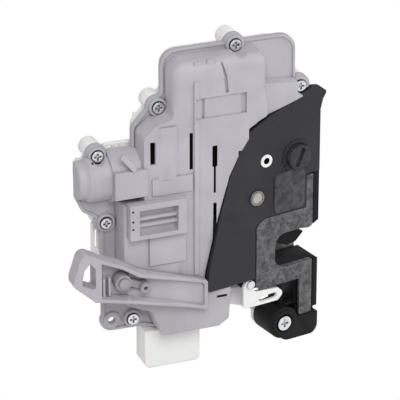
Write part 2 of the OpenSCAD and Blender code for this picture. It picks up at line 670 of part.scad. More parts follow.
module pawl() {
    color([0.55, 0.55, 0.57]) translate([pawl_at.x, 0, pawl_at.y]) rotate([0, pawl_lift, 0])
        difference() {
            translate([-pawl_at.x, 0, -pawl_at.y]) slab(claw_front, claw_back)
                polygon(rounded(pawl_pts, 3));
            bar([0, 0], pawl_pin_r + run_gap, 0, 20);
        }
}
module pawl_pin() {
    color([0.78, 0.78, 0.74]) {
        bar(pawl_at, pawl_pin_r, -0.4, latch_d + steel_t);
        bar(pawl_at, 4.5, -0.6, plate_front);
        bar(pawl_at, 3.6, -0.9, 0);
    }
}
module claw_spring() {
    color([0.7, 0.7, 0.7]) torsion_spring(claw_at, 6, 0.7, body_floor + 0.2, 3, 1.5, 0);
}
module pawl_spring() {
    color([0.7, 0.7, 0.7]) torsion_spring(pawl_at, 4.2, 0.5, body_floor + 0.2, 3, 1, 0);
}
module bump_stop() {
    color([0.08, 0.08, 0.08]) box(2, mouth_left + 2.5, body_floor + 1, 18, mouth_mid - 6,
        mouth_mid + 6);
}
module fixing_bush() {
    color([0.9, 0.9, 0.9]) difference() {
        union() {
            bar([0, 0], 3.8, -0.5, plate_front);
            bar([0, 0], 2.9, plate_front - eps, 13);
        }
        bar([0, 0], bush_bore_r, -1, 14);
    }
}
module lock_rotor() {
    color([0.2, 0.2, 0.21]) difference() {
        bar(rotor_at, rotor_r, -4, 12.6);
        translate([rotor_at.x, -4, rotor_at.y]) rotate([0, 25, 0]) box(-1.35, 1.35, -1, 2, -5.5, 5.5);
    }
}
module release_lever() {
    color([0.92, 0.92, 0.9]) difference() {
        slab(release_front, release_front + release_t) difference() {
            polygon(rounded(release_pts));
            polygon(rounded(release_slot));
        }
        bar(release_at, release_pin_r + run_gap, 0, 12);
    }
}
module release_pin() {
    color([0.7, 0.7, 0.7]) {
        bar(release_at, release_pin_r, 0.8, 12);
        bar(release_at, 2.4, 0.4, release_front - run_gap);
    }
}
module strap_screw() {
    color([0.75, 0.75, 0.76]) difference() {
        union() {
            bar(eye_at, 4.4, strap_head, strap_head + 2.6);
            bar(eye_at, shank_r, strap_head + 2, latch_d - 0.5);
        }
        for (a = [0, 90]) translate([eye_at.x, strap_head, eye_at.y]) rotate([0, a, 0])
            box(-2.4, 2.4, -1, 1.2, -0.55, 0.55);
    }
}

front_housing();
rear_housing();
housing_seal();
cover_screws();
connector_socket();
plug_pins();
cable_bracket();
cable_lever();
cable_lever_pin();
lock_motor();
worm();
lock_sector();
sector_pin();
micro_switches();
contact_strips();
latch_cover();
face_plate();
latch_body();
back_plate();
claw();
claw_pin();
pawl();
pawl_pin();
claw_spring();
pawl_spring();
bump_stop();
fixing_bush();
lock_rotor();
release_lever();
release_pin();
strap_screw();
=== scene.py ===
"""A car door lock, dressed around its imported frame: moulded housing, latch and levers."""

from __future__ import annotations

import json
import logging
import math
from dataclasses import dataclass, field
from enum import Enum

import bmesh
import bpy
from bmesh.types import BMesh, BMFace, BMVert
from bpy.types import ID, Material, Mesh, Node, NodeSocket, NodeTree, Object
from mathutils import Matrix, Vector
from mathutils.bvhtree import BVHTree

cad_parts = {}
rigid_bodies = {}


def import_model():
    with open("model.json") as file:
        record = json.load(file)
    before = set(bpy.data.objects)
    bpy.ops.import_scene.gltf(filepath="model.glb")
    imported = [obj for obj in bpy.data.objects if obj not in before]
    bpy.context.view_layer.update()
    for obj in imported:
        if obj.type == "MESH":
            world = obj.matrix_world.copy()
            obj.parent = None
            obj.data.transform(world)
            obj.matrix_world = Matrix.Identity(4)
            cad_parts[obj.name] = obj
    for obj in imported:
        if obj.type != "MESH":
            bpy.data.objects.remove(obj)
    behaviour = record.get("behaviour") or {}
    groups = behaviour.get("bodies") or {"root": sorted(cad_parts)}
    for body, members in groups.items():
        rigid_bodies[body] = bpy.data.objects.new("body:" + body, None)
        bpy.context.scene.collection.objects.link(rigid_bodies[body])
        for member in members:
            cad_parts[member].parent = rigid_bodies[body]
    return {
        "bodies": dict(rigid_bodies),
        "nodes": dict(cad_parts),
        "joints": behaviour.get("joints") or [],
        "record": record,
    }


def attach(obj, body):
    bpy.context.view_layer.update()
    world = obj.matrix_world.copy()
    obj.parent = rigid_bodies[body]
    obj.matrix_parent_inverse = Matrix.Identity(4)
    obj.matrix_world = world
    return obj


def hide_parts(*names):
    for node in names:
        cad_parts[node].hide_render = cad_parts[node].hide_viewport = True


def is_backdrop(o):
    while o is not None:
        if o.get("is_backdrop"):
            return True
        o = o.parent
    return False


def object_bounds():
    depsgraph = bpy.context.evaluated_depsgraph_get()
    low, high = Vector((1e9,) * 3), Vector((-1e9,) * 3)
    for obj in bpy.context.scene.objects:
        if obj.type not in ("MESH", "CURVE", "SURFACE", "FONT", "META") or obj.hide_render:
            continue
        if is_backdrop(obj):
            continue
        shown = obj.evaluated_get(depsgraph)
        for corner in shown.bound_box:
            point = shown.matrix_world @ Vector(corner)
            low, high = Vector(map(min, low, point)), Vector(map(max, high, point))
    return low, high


LOG = logging.getLogger("door_lock")
MM = 0.001
Point = tuple[float, float, float]
HOUSING_TURN = math.radians(-12.0)
FLANGE_PLACE = 10.0
# Corners closer than these, in metres, count as one, and faces flatter than the angle as one face.
MERGE_GAP = 2e-6
CUT_GAP = 1e-6
RING_GAP = 1e-7
FLAT_ANGLE = math.radians(0.6)


class Metal(Enum):
    """The bare metals that the lock shows."""

    ZINC = "zinc plate"
    SPRING = "spring wire"
    PLATE = "pressed plate"
    CONTACT = "contact brass"


@dataclass(frozen=True)
class Colour:
    """A linear colour, with shares from 0 to 1."""

    red: float
    green: float
    blue: float

    def rgba(self) -> tuple[float, float, float, float]:
        """Return the colour with full alpha."""
        return (self.red, self.green, self.blue, 1.0)

    def shade(self, factor: float) -> Colour:
        """Return a darker or lighter version of the colour."""
        return Colour(self.red * factor, self.green * factor, self.blue * factor)


def srgb(red: int, green: int, blue: int) -> Colour:
    """Return the linear colour of a display colour with channels from 0 to 255."""
    levels = [channel / 255.0 for channel in (red, green, blue)]
    return Colour(*[v / 12.92 if v <= 0.04045 else ((v + 0.055) / 1.055) ** 2.4 for v in levels])


class NodeSheet:
    """A node tree with short calls for adding, filling and joining nodes."""

    def __init__(self, tree: NodeTree) -> None:
        """Start on the tree that the nodes go into."""
        self.tree = tree

    def add(self, kind: str, **settings: object) -> Node:
        """Add a node of a kind, by Blender's name, set its plain properties and return it."""
        node = self.tree.nodes.new(kind)
        for name, value in settings.items():
            setattr(node, name, value)
        return node

    @staticmethod
    def fill(node: Node, **values: object) -> Node:
        """Give inputs of a node their values, with _ for a space in a name, and return the node."""
        for label, value in values.items():
            node.inputs[label.replace("_", " ")].default_value = value
        return node

    def join(self, start: NodeSocket, end: NodeSocket) -> None:
        """Link an output to an input."""
        self.tree.links.new(start, end)


class ShaderSheet(NodeSheet):
    """A shader node tree with short calls for textures, mixes and sums."""

    def feed(self, socket: NodeSocket, value: object) -> None:
        """Give an input a number, a Colour or the link from an output."""
        if isinstance(value, NodeSocket):
            self.join(value, socket)
        else:
            socket.default_value = value.rgba() if isinstance(value, Colour) else value

    def noise(self, place, scale, detail: float, rough: float = 0.5, distortion: float = 0.0):
        """Add a noise texture on a place, with a scale from a number or a socket, and return its height."""
        node = self.add("ShaderNodeTexNoise")
        self.fill(node, Detail=detail, Roughness=rough, Distortion=distortion)
        self.feed(node.inputs["Scale"], scale)
        self.join(place, node.inputs["Vector"])
        return node.outputs["Fac"]

    def remap(self, value, low: float, high: float, out_low: float = 0.0, out_high: float = 1.0):
        """Map a value from one range to another, clamped, and return the output."""
        node = self.add("ShaderNodeMapRange")
        self.fill(node, From_Min=low, From_Max=high, To_Min=out_low, To_Max=out_high)
        self.join(value, node.inputs["Value"])
        return node.outputs["Result"]

    def mix(self, factor, dark, light):
        """Mix two colours by a factor and return the colour output.

        Args:
            factor: the socket that mixes.
            dark: a Colour or a socket for factor 0.
            light: a Colour or a socket for factor 1.

        Returns:
            The mixed colour's socket.
        """
        node = self.add("ShaderNodeMix", data_type="RGBA")
        self.join(factor, node.inputs["Factor"])
        for side, name in ((dark, "A"), (light, "B")):
            self.feed([s for s in node.inputs if s.name == name and s.type == "RGBA"][0], side)
        return [s for s in node.outputs if s.type == "RGBA"][0]

    def tint(self, tone, mask, colour, amount: float):
        """Lay an amount of a colour over a tone where a mask is 1, and return the colour output."""
        return self.mix(self.math("MULTIPLY", mask, amount), tone, colour)

    def math(self, operation: str, first, second):
        """Do one sum on sockets or numbers and return the output."""
        node = self.add("ShaderNodeMath", operation=operation)
        for socket, value in zip(node.inputs, (first, second)):
            self.feed(socket, value)
        return node.outputs[0]


def start_group(name: str, inputs: dict[str, float], outputs: dict[str, str]):
    """Make a shader node group with a place input, plain inputs and outputs.

    Args:
        name: the group's name.
        inputs: float inputs and their defaults.
        outputs: outputs and their socket kinds, Float or Color.

    Returns:
        The group, its sheet, its input node and its output node.
    """
    group = bpy.data.node_groups.new(name, "ShaderNodeTree")
    group.interface.new_socket("Place", in_out="INPUT", socket_type="NodeSocketVector")
    for label, value in inputs.items():
        socket = group.interface.new_socket(label, in_out="INPUT", socket_type="NodeSocketFloat")
        socket.default_value = value
    for label, kind in outputs.items():
        group.interface.new_socket(label, in_out="OUTPUT", socket_type="NodeSocket" + kind)
    sheet = ShaderSheet(group)
    return group, sheet, sheet.add("NodeGroupInput"), sheet.add("NodeGroupOutput")


def grain_group() -> NodeTree:
    """Build the fine spark grain of moulded plastic: a height and a soft cloud mask."""
    group, sheet, given, out = start_group(
        "MouldGrain", {"Grain Scale": 2200.0, "Cloud Scale": 60.0}, {"Height": "Float", "Cloud": "Float"}
    )
    place = given.outputs["Place"]
    sheet.join(sheet.noise(place, given.outputs["Grain Scale"], 3.0), out.inputs["Height"])
    cloud = sheet.noise(place, given.outputs["Cloud Scale"], 2.0)
    sheet.join(sheet.remap(cloud, 0.3, 0.7), out.inputs["Cloud"])
    return group


def mottle_group() -> NodeTree:
    """Build the marbling of a phosphated steel face: soft blotches, small pits and a height."""
    group, sheet, given, out = start_group(
        "Mottle", {"Blotch Scale": 210.0, "Pit Scale": 620.0},
        {"Blotches": "Float", "Pits": "Float", "Height": "Float"},
    )
    place = given.outputs["Place"]
    blotch = sheet.noise(place, given.outputs["Blotch Scale"], 5.0, 0.62, 0.6)
    pit = sheet.noise(place, given.outputs["Pit Scale"], 2.0)
    fine = sheet.noise(place, 2600.0, 3.0, 0.6)
    sheet.join(sheet.remap(blotch, 0.36, 0.66), out.inputs["Blotches"])
    sheet.join(sheet.remap(pit, 0.6, 0.68), out.inputs["Pits"])
    sheet.join(sheet.math("ADD", sheet.math("MULTIPLY", blotch, 2.0), fine), out.inputs["Height"])
    return group


def painted_shade_group() -> NodeTree:
    """Build the painted shade in grooves: a mask, from ambient occlusion, that is 1 in a narrow groove."""
    group, sheet, given, out = start_group("PaintedGrooveShade", {"Reach": 0.0015}, {"Mask": "Float"})
    open_sky = sheet.add("ShaderNodeAmbientOcclusion", samples=6)
    sheet.join(given.outputs["Reach"], open_sky.inputs["Distance"])
    sheet.join(sheet.remap(open_sky.outputs["AO"], 0.35, 0.9, 1.0, 0.0), out.inputs["Mask"])
    return group


def wear_group() -> NodeTree:
    """Build scuffs: long thin scratches as a mask."""
    group, sheet, given, out = start_group(
        "Scuffs", {"Scuff Scale": 90.0, "Amount": 0.5}, {"Mask": "Float"}
    )
    stretch = sheet.add("ShaderNodeMapping")
    sheet.fill(stretch, Scale=(1.0, 1.0, 14.0), Rotation=(0.3, 0.5, 0.9))
    sheet.join(given.outputs["Place"], stretch.inputs["Vector"])
    streak = sheet.noise(stretch.outputs["Vector"], given.outputs["Scuff Scale"], 4.0)
    sharp = sheet.remap(streak, 0.62, 0.72)
    sheet.join(sheet.math("MULTIPLY", sharp, given.outputs["Amount"]), out.inputs["Mask"])
    return group


def soft_edge_group() -> NodeTree:
    """Build the small radius that a mould leaves on an edge: a normal and a mask of the edges."""
    group, sheet, given, out = start_group(
        "SoftEdge", {"Radius": 0.0004}, {"Normal": "Vector", "Mask": "Float"}
    )
    bevel = sheet.add("ShaderNodeBevel", samples=4)
    sheet.join(given.outputs["Radius"], bevel.inputs["Radius"])
    flat = sheet.add("ShaderNodeNewGeometry")
    near = sheet.add("ShaderNodeVectorMath", operation="DOT_PRODUCT")
    sheet.join(bevel.outputs["Normal"], near.inputs[0])
    sheet.join(flat.outputs["Normal"], near.inputs[1])
    sheet.join(bevel.outputs["Normal"], out.inputs["Normal"])
    sheet.join(sheet.remap(near.outputs["Value"], 0.99, 0.8), out.inputs["Mask"])
    return group


class Effects:
    """The shader node groups that several finishes share, each built once."""

    def __init__(self) -> None:
        """Build the shared groups."""
        self.grain = grain_group()
        self.mottle = mottle_group()
        self.scuffs = wear_group()
        self.edges = soft_edge_group()
        self.painted_groove_shade = painted_shade_group()

    @staticmethod
    def place(sheet: ShaderSheet, group: NodeTree, **values: float) -> Node:
        """Put a group into a material, read on object coordinates.

        Args:
            sheet: the material's sheet.
            group: the shared group.
            values: numbers for the group's inputs, with _ for a space.

        Returns:
            The group's node.
        """
        node = sheet.add("ShaderNodeGroup", node_tree=group)
        place = sheet.add("ShaderNodeTexCoord")
        sheet.join(place.outputs["Object"], node.inputs["Place"])
        return sheet.fill(node, **values)


def start_material(name: str) -> tuple[Material, ShaderSheet, Node]:
    """Start a material and return it with its sheet and its shader."""
    material = bpy.data.materials.new(name)
    material.use_nodes = True
    sheet = ShaderSheet(material.node_tree)
    return material, sheet, material.node_tree.nodes["Principled BSDF"]


def end_surface(sheet: ShaderSheet, shader, tone, rough, height, bump: tuple[float, float], edges) -> None:
    """Give a shader its colour, its roughness and its height over softened edges.

    Args:
        sheet: the material's sheet, and shader its shader.
        tone: the socket with the colour, rough with the roughness and height with the height.
        bump: the height's strength, and its depth in metres.
        edges: the node of the softened edges.
    """
    relief = sheet.fill(sheet.add("ShaderNodeBump"), Strength=bump[0], Distance=bump[1])
    sheet.join(height, relief.inputs["Height"])
    sheet.join(edges.outputs["Normal"], relief.inputs["Normal"])
    for socket, label in ((tone, "Base Color"), (rough, "Roughness"), (relief.outputs["Normal"], "Normal")):
        sheet.join(socket, shader.inputs[label])


@dataclass(frozen=True)
class MouldedPlastic:
    """Moulded plastic with a fine grain, a slight cloud, scuffs, edges painted lighter as wear and highlight,
    and painted shade in grooves.

    A bump is a strength and a depth in metres, and a tone is a brightness beside the plain colour's.
    """

    name: str
    colour: Colour
    rough: float = 0.55
    rough_spread: tuple[float, float] = (-0.05, 0.07)
    bump: tuple[float, float] = (0.25, 0.00006)
    cloud: float = 0.06
    scuffs: float = 0.0
    scuff_colour: Colour = Colour(0.6, 0.6, 0.6)
    see_through: float = 0.0
    scatter: float = 0.002
    shine: float = 0.5
    edge_radius: float = 0.0005
    # Edges painted lighter: partly worn edges, partly a painted highlight.
    edge_wear_and_highlight: float = 0.25
    edge_wear_and_highlight_tone: float = 1.35
    # Painted shade in grooves: how much of it, and how dark it is.
    painted_shade_amount: float = 0.6
    painted_shade_tone: float = 0.25
    marble: Colour | None = None
    marble_scale: float = 240.0
    marble_amount: float = 0.85

    def build(self, effects: Effects) -> Material:
        """Build the material.

        Args:
            effects: the shared node groups.

        Returns:
            The finished material.
        """
        material, sheet, shader = start_material(self.name)
        grain = effects.place(sheet, effects.grain)
        scuffs = effects.place(sheet, effects.scuffs, Amount=self.scuffs)
        edges = effects.place(sheet, effects.edges, Radius=self.edge_radius)
        painted_groove_shade = effects.place(sheet, effects.painted_groove_shade)
        cloud, shade = grain.outputs["Cloud"], self.colour.shade
        tone = sheet.mix(cloud, shade(1.0 - self.cloud), shade(1.0 + self.cloud))
        tone = sheet.mix(scuffs.outputs["Mask"], tone, self.scuff_colour)
        # Edges painted lighter: partly worn edges, partly a painted highlight.
        tone = sheet.tint(tone, edges.outputs["Mask"], shade(self.edge_wear_and_highlight_tone), self.edge_wear_and_highlight)
        # Painted shade: grooves are darkened where ambient occlusion finds them.
        tone = sheet.tint(tone, painted_groove_shade.outputs["Mask"], shade(self.painted_shade_tone), self.painted_shade_amount)
        if self.marble is not None:
            mottle = effects.place(sheet, effects.mottle, Blotch_Scale=self.marble_scale)
            tone = sheet.tint(tone, mottle.outputs["Blotches"], self.marble, self.marble_amount)
        rough = sheet.remap(cloud, 0.0, 1.0, *(self.rough + spread for spread in self.rough_spread))
        sheet.fill(shader, Specular_IOR_Level=self.shine, Subsurface_Weight=self.see_through)
        if self.see_through:
            sheet.fill(shader, Subsurface_Scale=self.scatter)
        end_surface(sheet, shader, tone, rough, grain.outputs["Height"], self.bump, edges)
        return material


@dataclass(frozen=True)
class MottledSteel:
    """Phosphated steel, marbled with soft pale blotches and small dark pits."""

    name: str
    ground: Colour
    blotch: Colour
    scuffs: float = 0.3
    scuff_tone: float = 1.4
    pit_tone: float = 0.5
    # Painted shade in grooves: how dark it is, and how much of it.
    painted_shade_tone: float = 0.3
    painted_shade_amount: float = 0.7
    rough: tuple[float, float] = (0.65, 0.45)
    metal: float = 0.25
    bump: tuple[float, float] = (0.35, 0.0001)
    edge_radius: float = 0.0003

    def build(self, effects: Effects) -> Material:
        """Build the material from the shared groups."""
        material, sheet, shader = start_material(self.name)
        mottle = effects.place(sheet, effects.mottle)
        scuffs = effects.place(sheet, effects.scuffs, Amount=self.scuffs)
        painted_groove_shade = effects.place(sheet, effects.painted_groove_shade)
        edges = effects.place(sheet, effects.edges, Radius=self.edge_radius)
        blotches = mottle.outputs["Blotches"]
        tone = sheet.mix(blotches, self.ground, self.blotch)
        tone = sheet.mix(mottle.outputs["Pits"], tone, self.ground.shade(self.pit_tone))
        tone = sheet.mix(scuffs.outputs["Mask"], tone, self.blotch.shade(self.scuff_tone))
        # Painted shade: grooves are darkened where ambient occlusion finds them.
        tone = sheet.tint(tone, painted_groove_shade.outputs["Mask"], self.ground.shade(self.painted_shade_tone), self.painted_shade_amount)
        rough = sheet.remap(blotches, 0.0, 1.0, *self.rough)
        sheet.fill(shader, Metallic=self.metal)
        end_surface(sheet, shader, tone, rough, mottle.outputs["Height"], self.bump, edges)
        return material


@dataclass(frozen=True)
class BareMetal:
    """Plated or bare metal with fine scratches and a slight cloud."""

    name: str
    kind: Metal
    colour: Colour
    rough: float
    cloud_tone: float = 0.86
    scuff_tone: float = 0.6
    # Painted shade in grooves: how dark it is.
    painted_shade_tone: float = 0.08
    bump: tuple[float, float] = (0.15, 0.00004)

    def build(self, effects: Effects) -> Material:
        """Build the material from the shared groups."""
        material, sheet, shader = start_material(self.name)
        grain = effects.place(sheet, effects.grain, Grain_Scale=1500.0, Cloud_Scale=240.0)
        scuffs = effects.place(sheet, effects.scuffs, Scuff_Scale=260.0, Amount=0.6)
        painted_groove_shade = effects.place(sheet, effects.painted_groove_shade, Reach=0.0011)
        edges = effects.place(sheet, effects.edges, Radius=0.0002)
        cloud, shade = grain.outputs["Cloud"], self.colour.shade
        tone = sheet.mix(cloud, shade(self.cloud_tone), self.colour)
        tone = sheet.mix(scuffs.outputs["Mask"], tone, shade(self.scuff_tone))
        # Painted shade: grooves are darkened where ambient occlusion finds them.
        tone = sheet.mix(painted_groove_shade.outputs["Mask"], tone, shade(self.painted_shade_tone))
        spread = 0.16 if self.kind is Metal.ZINC else 0.1
        rough = sheet.remap(cloud, 0.0, 1.0, self.rough, self.rough + spread)
        sheet.fill(shader, Metallic=1.0)
        end_surface(sheet, shader, tone, rough, grain.outputs["Height"], self.bump, edges)
        return material


def finishes() -> dict[str, MouldedPlastic | MottledSteel | BareMetal]:
    """Return the finish of each material slot."""
    return {
        "housing_grey": MouldedPlastic("HousingGrey", srgb(180, 177, 184), 0.5, edge_wear_and_highlight=0.2),
        "housing_white": MouldedPlastic(
            "HousingWhite", srgb(242, 242, 239), 0.4, see_through=0.3, cloud=0.02, painted_shade_amount=0.2
        ),
        "lever_white": MouldedPlastic(
            "LeverWhite", srgb(240, 240, 239), 0.4, cloud=0.04, painted_shade_amount=0.5, scuffs=0.25,
            scuff_colour=srgb(150, 150, 150),
        ),
        "seal_rubber": MouldedPlastic("SealRubber", srgb(30, 30, 31), 0.75),
        "lever_grey": MouldedPlastic("LeverGrey", srgb(158, 156, 161), 0.45),
        "gear_plastic": MouldedPlastic("GearPlastic", srgb(60, 59, 58), 0.35),
        "switch_black": MouldedPlastic("SwitchBlack", srgb(36, 36, 38), 0.5),
        "cover_black": MouldedPlastic(
            "CoverBlack", srgb(42, 41, 45), 0.52, scuffs=0.14, scuff_colour=srgb(74, 73, 76), cloud=0.12,
            shine=0.3, edge_wear_and_highlight=0.5,
        ),
        "pad_black": MouldedPlastic(
            "PadBlack", srgb(46, 45, 48), 0.5, scuffs=0.2, scuff_colour=srgb(84, 83, 86), shine=0.35,
            edge_wear_and_highlight=0.3, painted_shade_amount=0.9, marble=srgb(84, 83, 86),
        ),
        "body_black": MouldedPlastic("BodyBlack", srgb(20, 20, 22), 0.55, shine=0.18),
        "claw_black": MouldedPlastic("ClawBlack", srgb(16, 16, 17), 0.55, shine=0.15),
        "rotor_black": MouldedPlastic(
            "RotorBlack", srgb(38, 37, 40), 0.5, scuffs=0.12, shine=0.35, painted_shade_amount=0.9,
            marble=srgb(60, 59, 62),
        ),
        "bush_white": MouldedPlastic("BushRing", srgb(238, 238, 236), 0.35, painted_shade_amount=0.4),
        # Painted shade: a near black for slot floors, the bush's bore, its thread and the lower slot, which
        # are dark only from shade.
        "painted_shade_black": MouldedPlastic("PaintedShadeBlack", srgb(22, 22, 23), 0.8, shine=0.1),
        "mottled_steel": MottledSteel("MottledSteel", srgb(66, 66, 69), srgb(112, 112, 115)),
        "zinc_steel": BareMetal("ZincSteel", Metal.ZINC, Colour(0.78, 0.8, 0.84), 0.2),
        "rivet_steel": BareMetal("RivetSteel", Metal.PLATE, Colour(0.52, 0.5, 0.45), 0.36),
        "spring_steel": BareMetal("SpringSteel", Metal.SPRING, Colour(0.5, 0.5, 0.51), 0.3),
        "plate_steel": BareMetal("PlateSteel", Metal.PLATE, Colour(0.42, 0.42, 0.43), 0.42),
        "motor_can": BareMetal("MotorCan", Metal.PLATE, Colour(0.55, 0.55, 0.56), 0.3),
        "contact_brass": BareMetal("ContactBrass", Metal.CONTACT, Colour(0.7, 0.55, 0.28), 0.3),
    }


def add_object(name: str, data: ID) -> Object:
    """Put a new object with its data into the scene and return it."""
    added = bpy.data.objects.new(name, data)
    bpy.context.scene.collection.objects.link(added)
    return added


@dataclass
class Studio:
    """The pale floor, the soft lamps and the camera at the photograph's angle."""

    target: Vector = field(default_factory=lambda: Vector((-35.93, 12.41, -19.64)) * MM)
    azimuth: float = -33.0
    elevation: float = 25.0
    distance: float = 1.5556
    lens: float = 252.0
    sensor: float = 36.0
    far: float = 20.0
    ground: float = 0.76
    reach: float = 3.0
    sky: float = 0.55

    def backdrop_material(self) -> Material:
        """Build a backdrop that is white to the camera and in reflections and still takes shadow."""
        material, sheet, shader = start_material("Backdrop")
        sheet.fill(shader, Base_Color=(self.ground,) * 3 + (1.0,), Roughness=0.9)
        rays = sheet.add("ShaderNodeLightPath")
        seen = sheet.math("MAXIMUM", rays.outputs["Is Camera Ray"], rays.outputs["Is Glossy Ray"])
        glow = sheet.fill(sheet.add("ShaderNodeEmission"), Strength=1.0)
        blend = sheet.add("ShaderNodeMixShader")
        out = material.node_tree.nodes["Material Output"]
        sheet.join(seen, blend.inputs["Fac"])
        sheet.join(shader.outputs["BSDF"], blend.inputs[1])
        sheet.join(glow.outputs["Emission"], blend.inputs[2])
        sheet.join(blend.outputs["Shader"], out.inputs["Surface"])
        return material

    def build_floor(self, low: float) -> None:
        """Lay the floor at low, the height of the object's lowest point."""
        mesh = bpy.data.meshes.new("floor")
        sides = ((-1, -1), (1, -1), (1, 1), (-1, 1))
        corners = [(x * self.reach, y * self.reach, low) for x, y in sides]
        mesh.from_pydata(corners, [], [(0, 1, 2, 3)])
        floor = add_object("floor", mesh)
        mesh.materials.append(self.backdrop_material())
        floor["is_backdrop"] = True

    def build_world(self) -> None:
        """Light the whole scene softly, with a white background to the camera."""
        world = bpy.data.worlds.new("studio")
        bpy.context.scene.world = world
        world.use_nodes = True
        sheet = ShaderSheet(world.node_tree)
        rays = sheet.add("ShaderNodeLightPath")
        strength = sheet.remap(rays.outputs["Is Camera Ray"], 0.0, 1.0, self.sky)
        back = sheet.fill(world.node_tree.nodes["Background"], Color=(1.0, 1.0, 1.0, 1.0))
        sheet.join(strength, back.inputs["Strength"])

    def build_lamp(self, name: str, place: Vector, size: float, power: float) -> None:
        """Hang one soft square lamp that points at the object."""
        lamp = bpy.data.lights.new(name, "AREA")
        lamp.size = size
        lamp.energy = power
        holder = add_object(name, lamp)
        holder.location = place
        holder.rotation_euler = (self.target - place).to_track_quat("-Z", "Y").to_euler()

    def build_camera(self) -> None:
        """Place the camera where the photograph was taken from."""
        azimuth, elevation = math.radians(self.azimuth), math.radians(self.elevation)
        level = math.cos(elevation)
        back = Vector((math.sin(azimuth) * level, -math.cos(azimuth) * level, math.sin(elevation)))
        data = bpy.data.cameras.new("camera")
        data.lens = self.lens
        data.sensor_width = self.sensor
        data.clip_end = self.far
        camera = add_object("camera", data)
        camera.location = self.target + back * self.distance
        camera.rotation_euler = back.to_track_quat("Z", "Y").to_euler()
        bpy.context.scene.camera = camera

    def build(self, low: float) -> None:
        """Build the whole studio over a floor at the height low."""
        self.build_camera()
        self.build_world()
        self.build_floor(low)
        self.build_lamp("key_lamp", Vector((-0.5, -0.9, 0.9)), 0.6, 9.0)
        self.build_lamp("fill_lamp", Vector((0.9, -0.6, 0.3)), 0.8, 3.0)
        bpy.context.scene.view_settings.view_transform = "Standard"


def in_housing(point: Vector) -> Vector:
    """Return a point's place in the housing's own frame: along it, from its flange backwards, and up.

    Args:
        point: a point of the shared frame, in metres.

    Returns:
        The place in millimetres.
    """
    cos, sin = math.cos(HOUSING_TURN), -math.sin(HOUSING_TURN)
    x, y, z = point / MM
    return Vector((x * cos - y * sin, x * sin + y * cos - FLANGE_PLACE, z))


def from_housing(u: float, v: float, w: float) -> Vector:
    """Return the point of the shared frame, in metres, at a place of the housing's own frame."""
    cos, sin = math.cos(HOUSING_TURN), -math.sin(HOUSING_TURN)
    v += FLANGE_PLACE
    return Vector((u * cos + v * sin, -u * sin + v * cos, w)) * MM


def eased(full: float, share: float) -> float:
    """Return the part of a full measure that is reached, softly, as a share goes from 0 to 1."""
    share = min(max(share, 0.0), 1.0)
    return full * share * share * (3.0 - 2.0 * share)


def cut_across(shape: BMesh, geometry: list, place: float, axis: int) -> None:
    """Cut into a shape with a plane of the housing.

    Args:
        shape: the shape.
        geometry: its faces, edges and corners that get cut.
        place: the plane's place in millimetres.
        axis: 0 for a plane across the housing's length, 2 for one across its height.
    """
    here, beyond = ([0.0, 0.0, 0.0] for _ in range(2))
    here[axis], beyond[axis] = place, place + 1.0
    point = from_housing(*here)
    normal = (from_housing(*beyond) - point).normalized()
    bmesh.ops.bisect_plane(shape, geom=geometry, dist=CUT_GAP, plane_co=point, plane_no=normal)


@dataclass(frozen=True)
class Zone:
    """A box in millimetres, in the latch's frame or, if turned, in the housing's."""

    low: Point
    high: Point
    turned: bool = False

    def holds(self, point: Vector) -> bool:
        """Say whether a point of the shared frame lies in the box."""
        place = in_housing(point) if self.turned else point / MM
        return all(low <= value <= high for low, value, high in zip(self.low, place, self.high))


@dataclass(frozen=True)
class Trim:
    """Corners of a node that are brought down to a height.

    Args:
        zone: the box with the corners.
        height: their new height in millimetres.
    """

    zone: Zone
    height: float

    def apply(self, shape: BMesh) -> None:
        """Bring the corners in the zone down to the height."""
        for vert in shape.verts:
            if self.zone.holds(vert.co):
                vert.co.z = self.height * MM


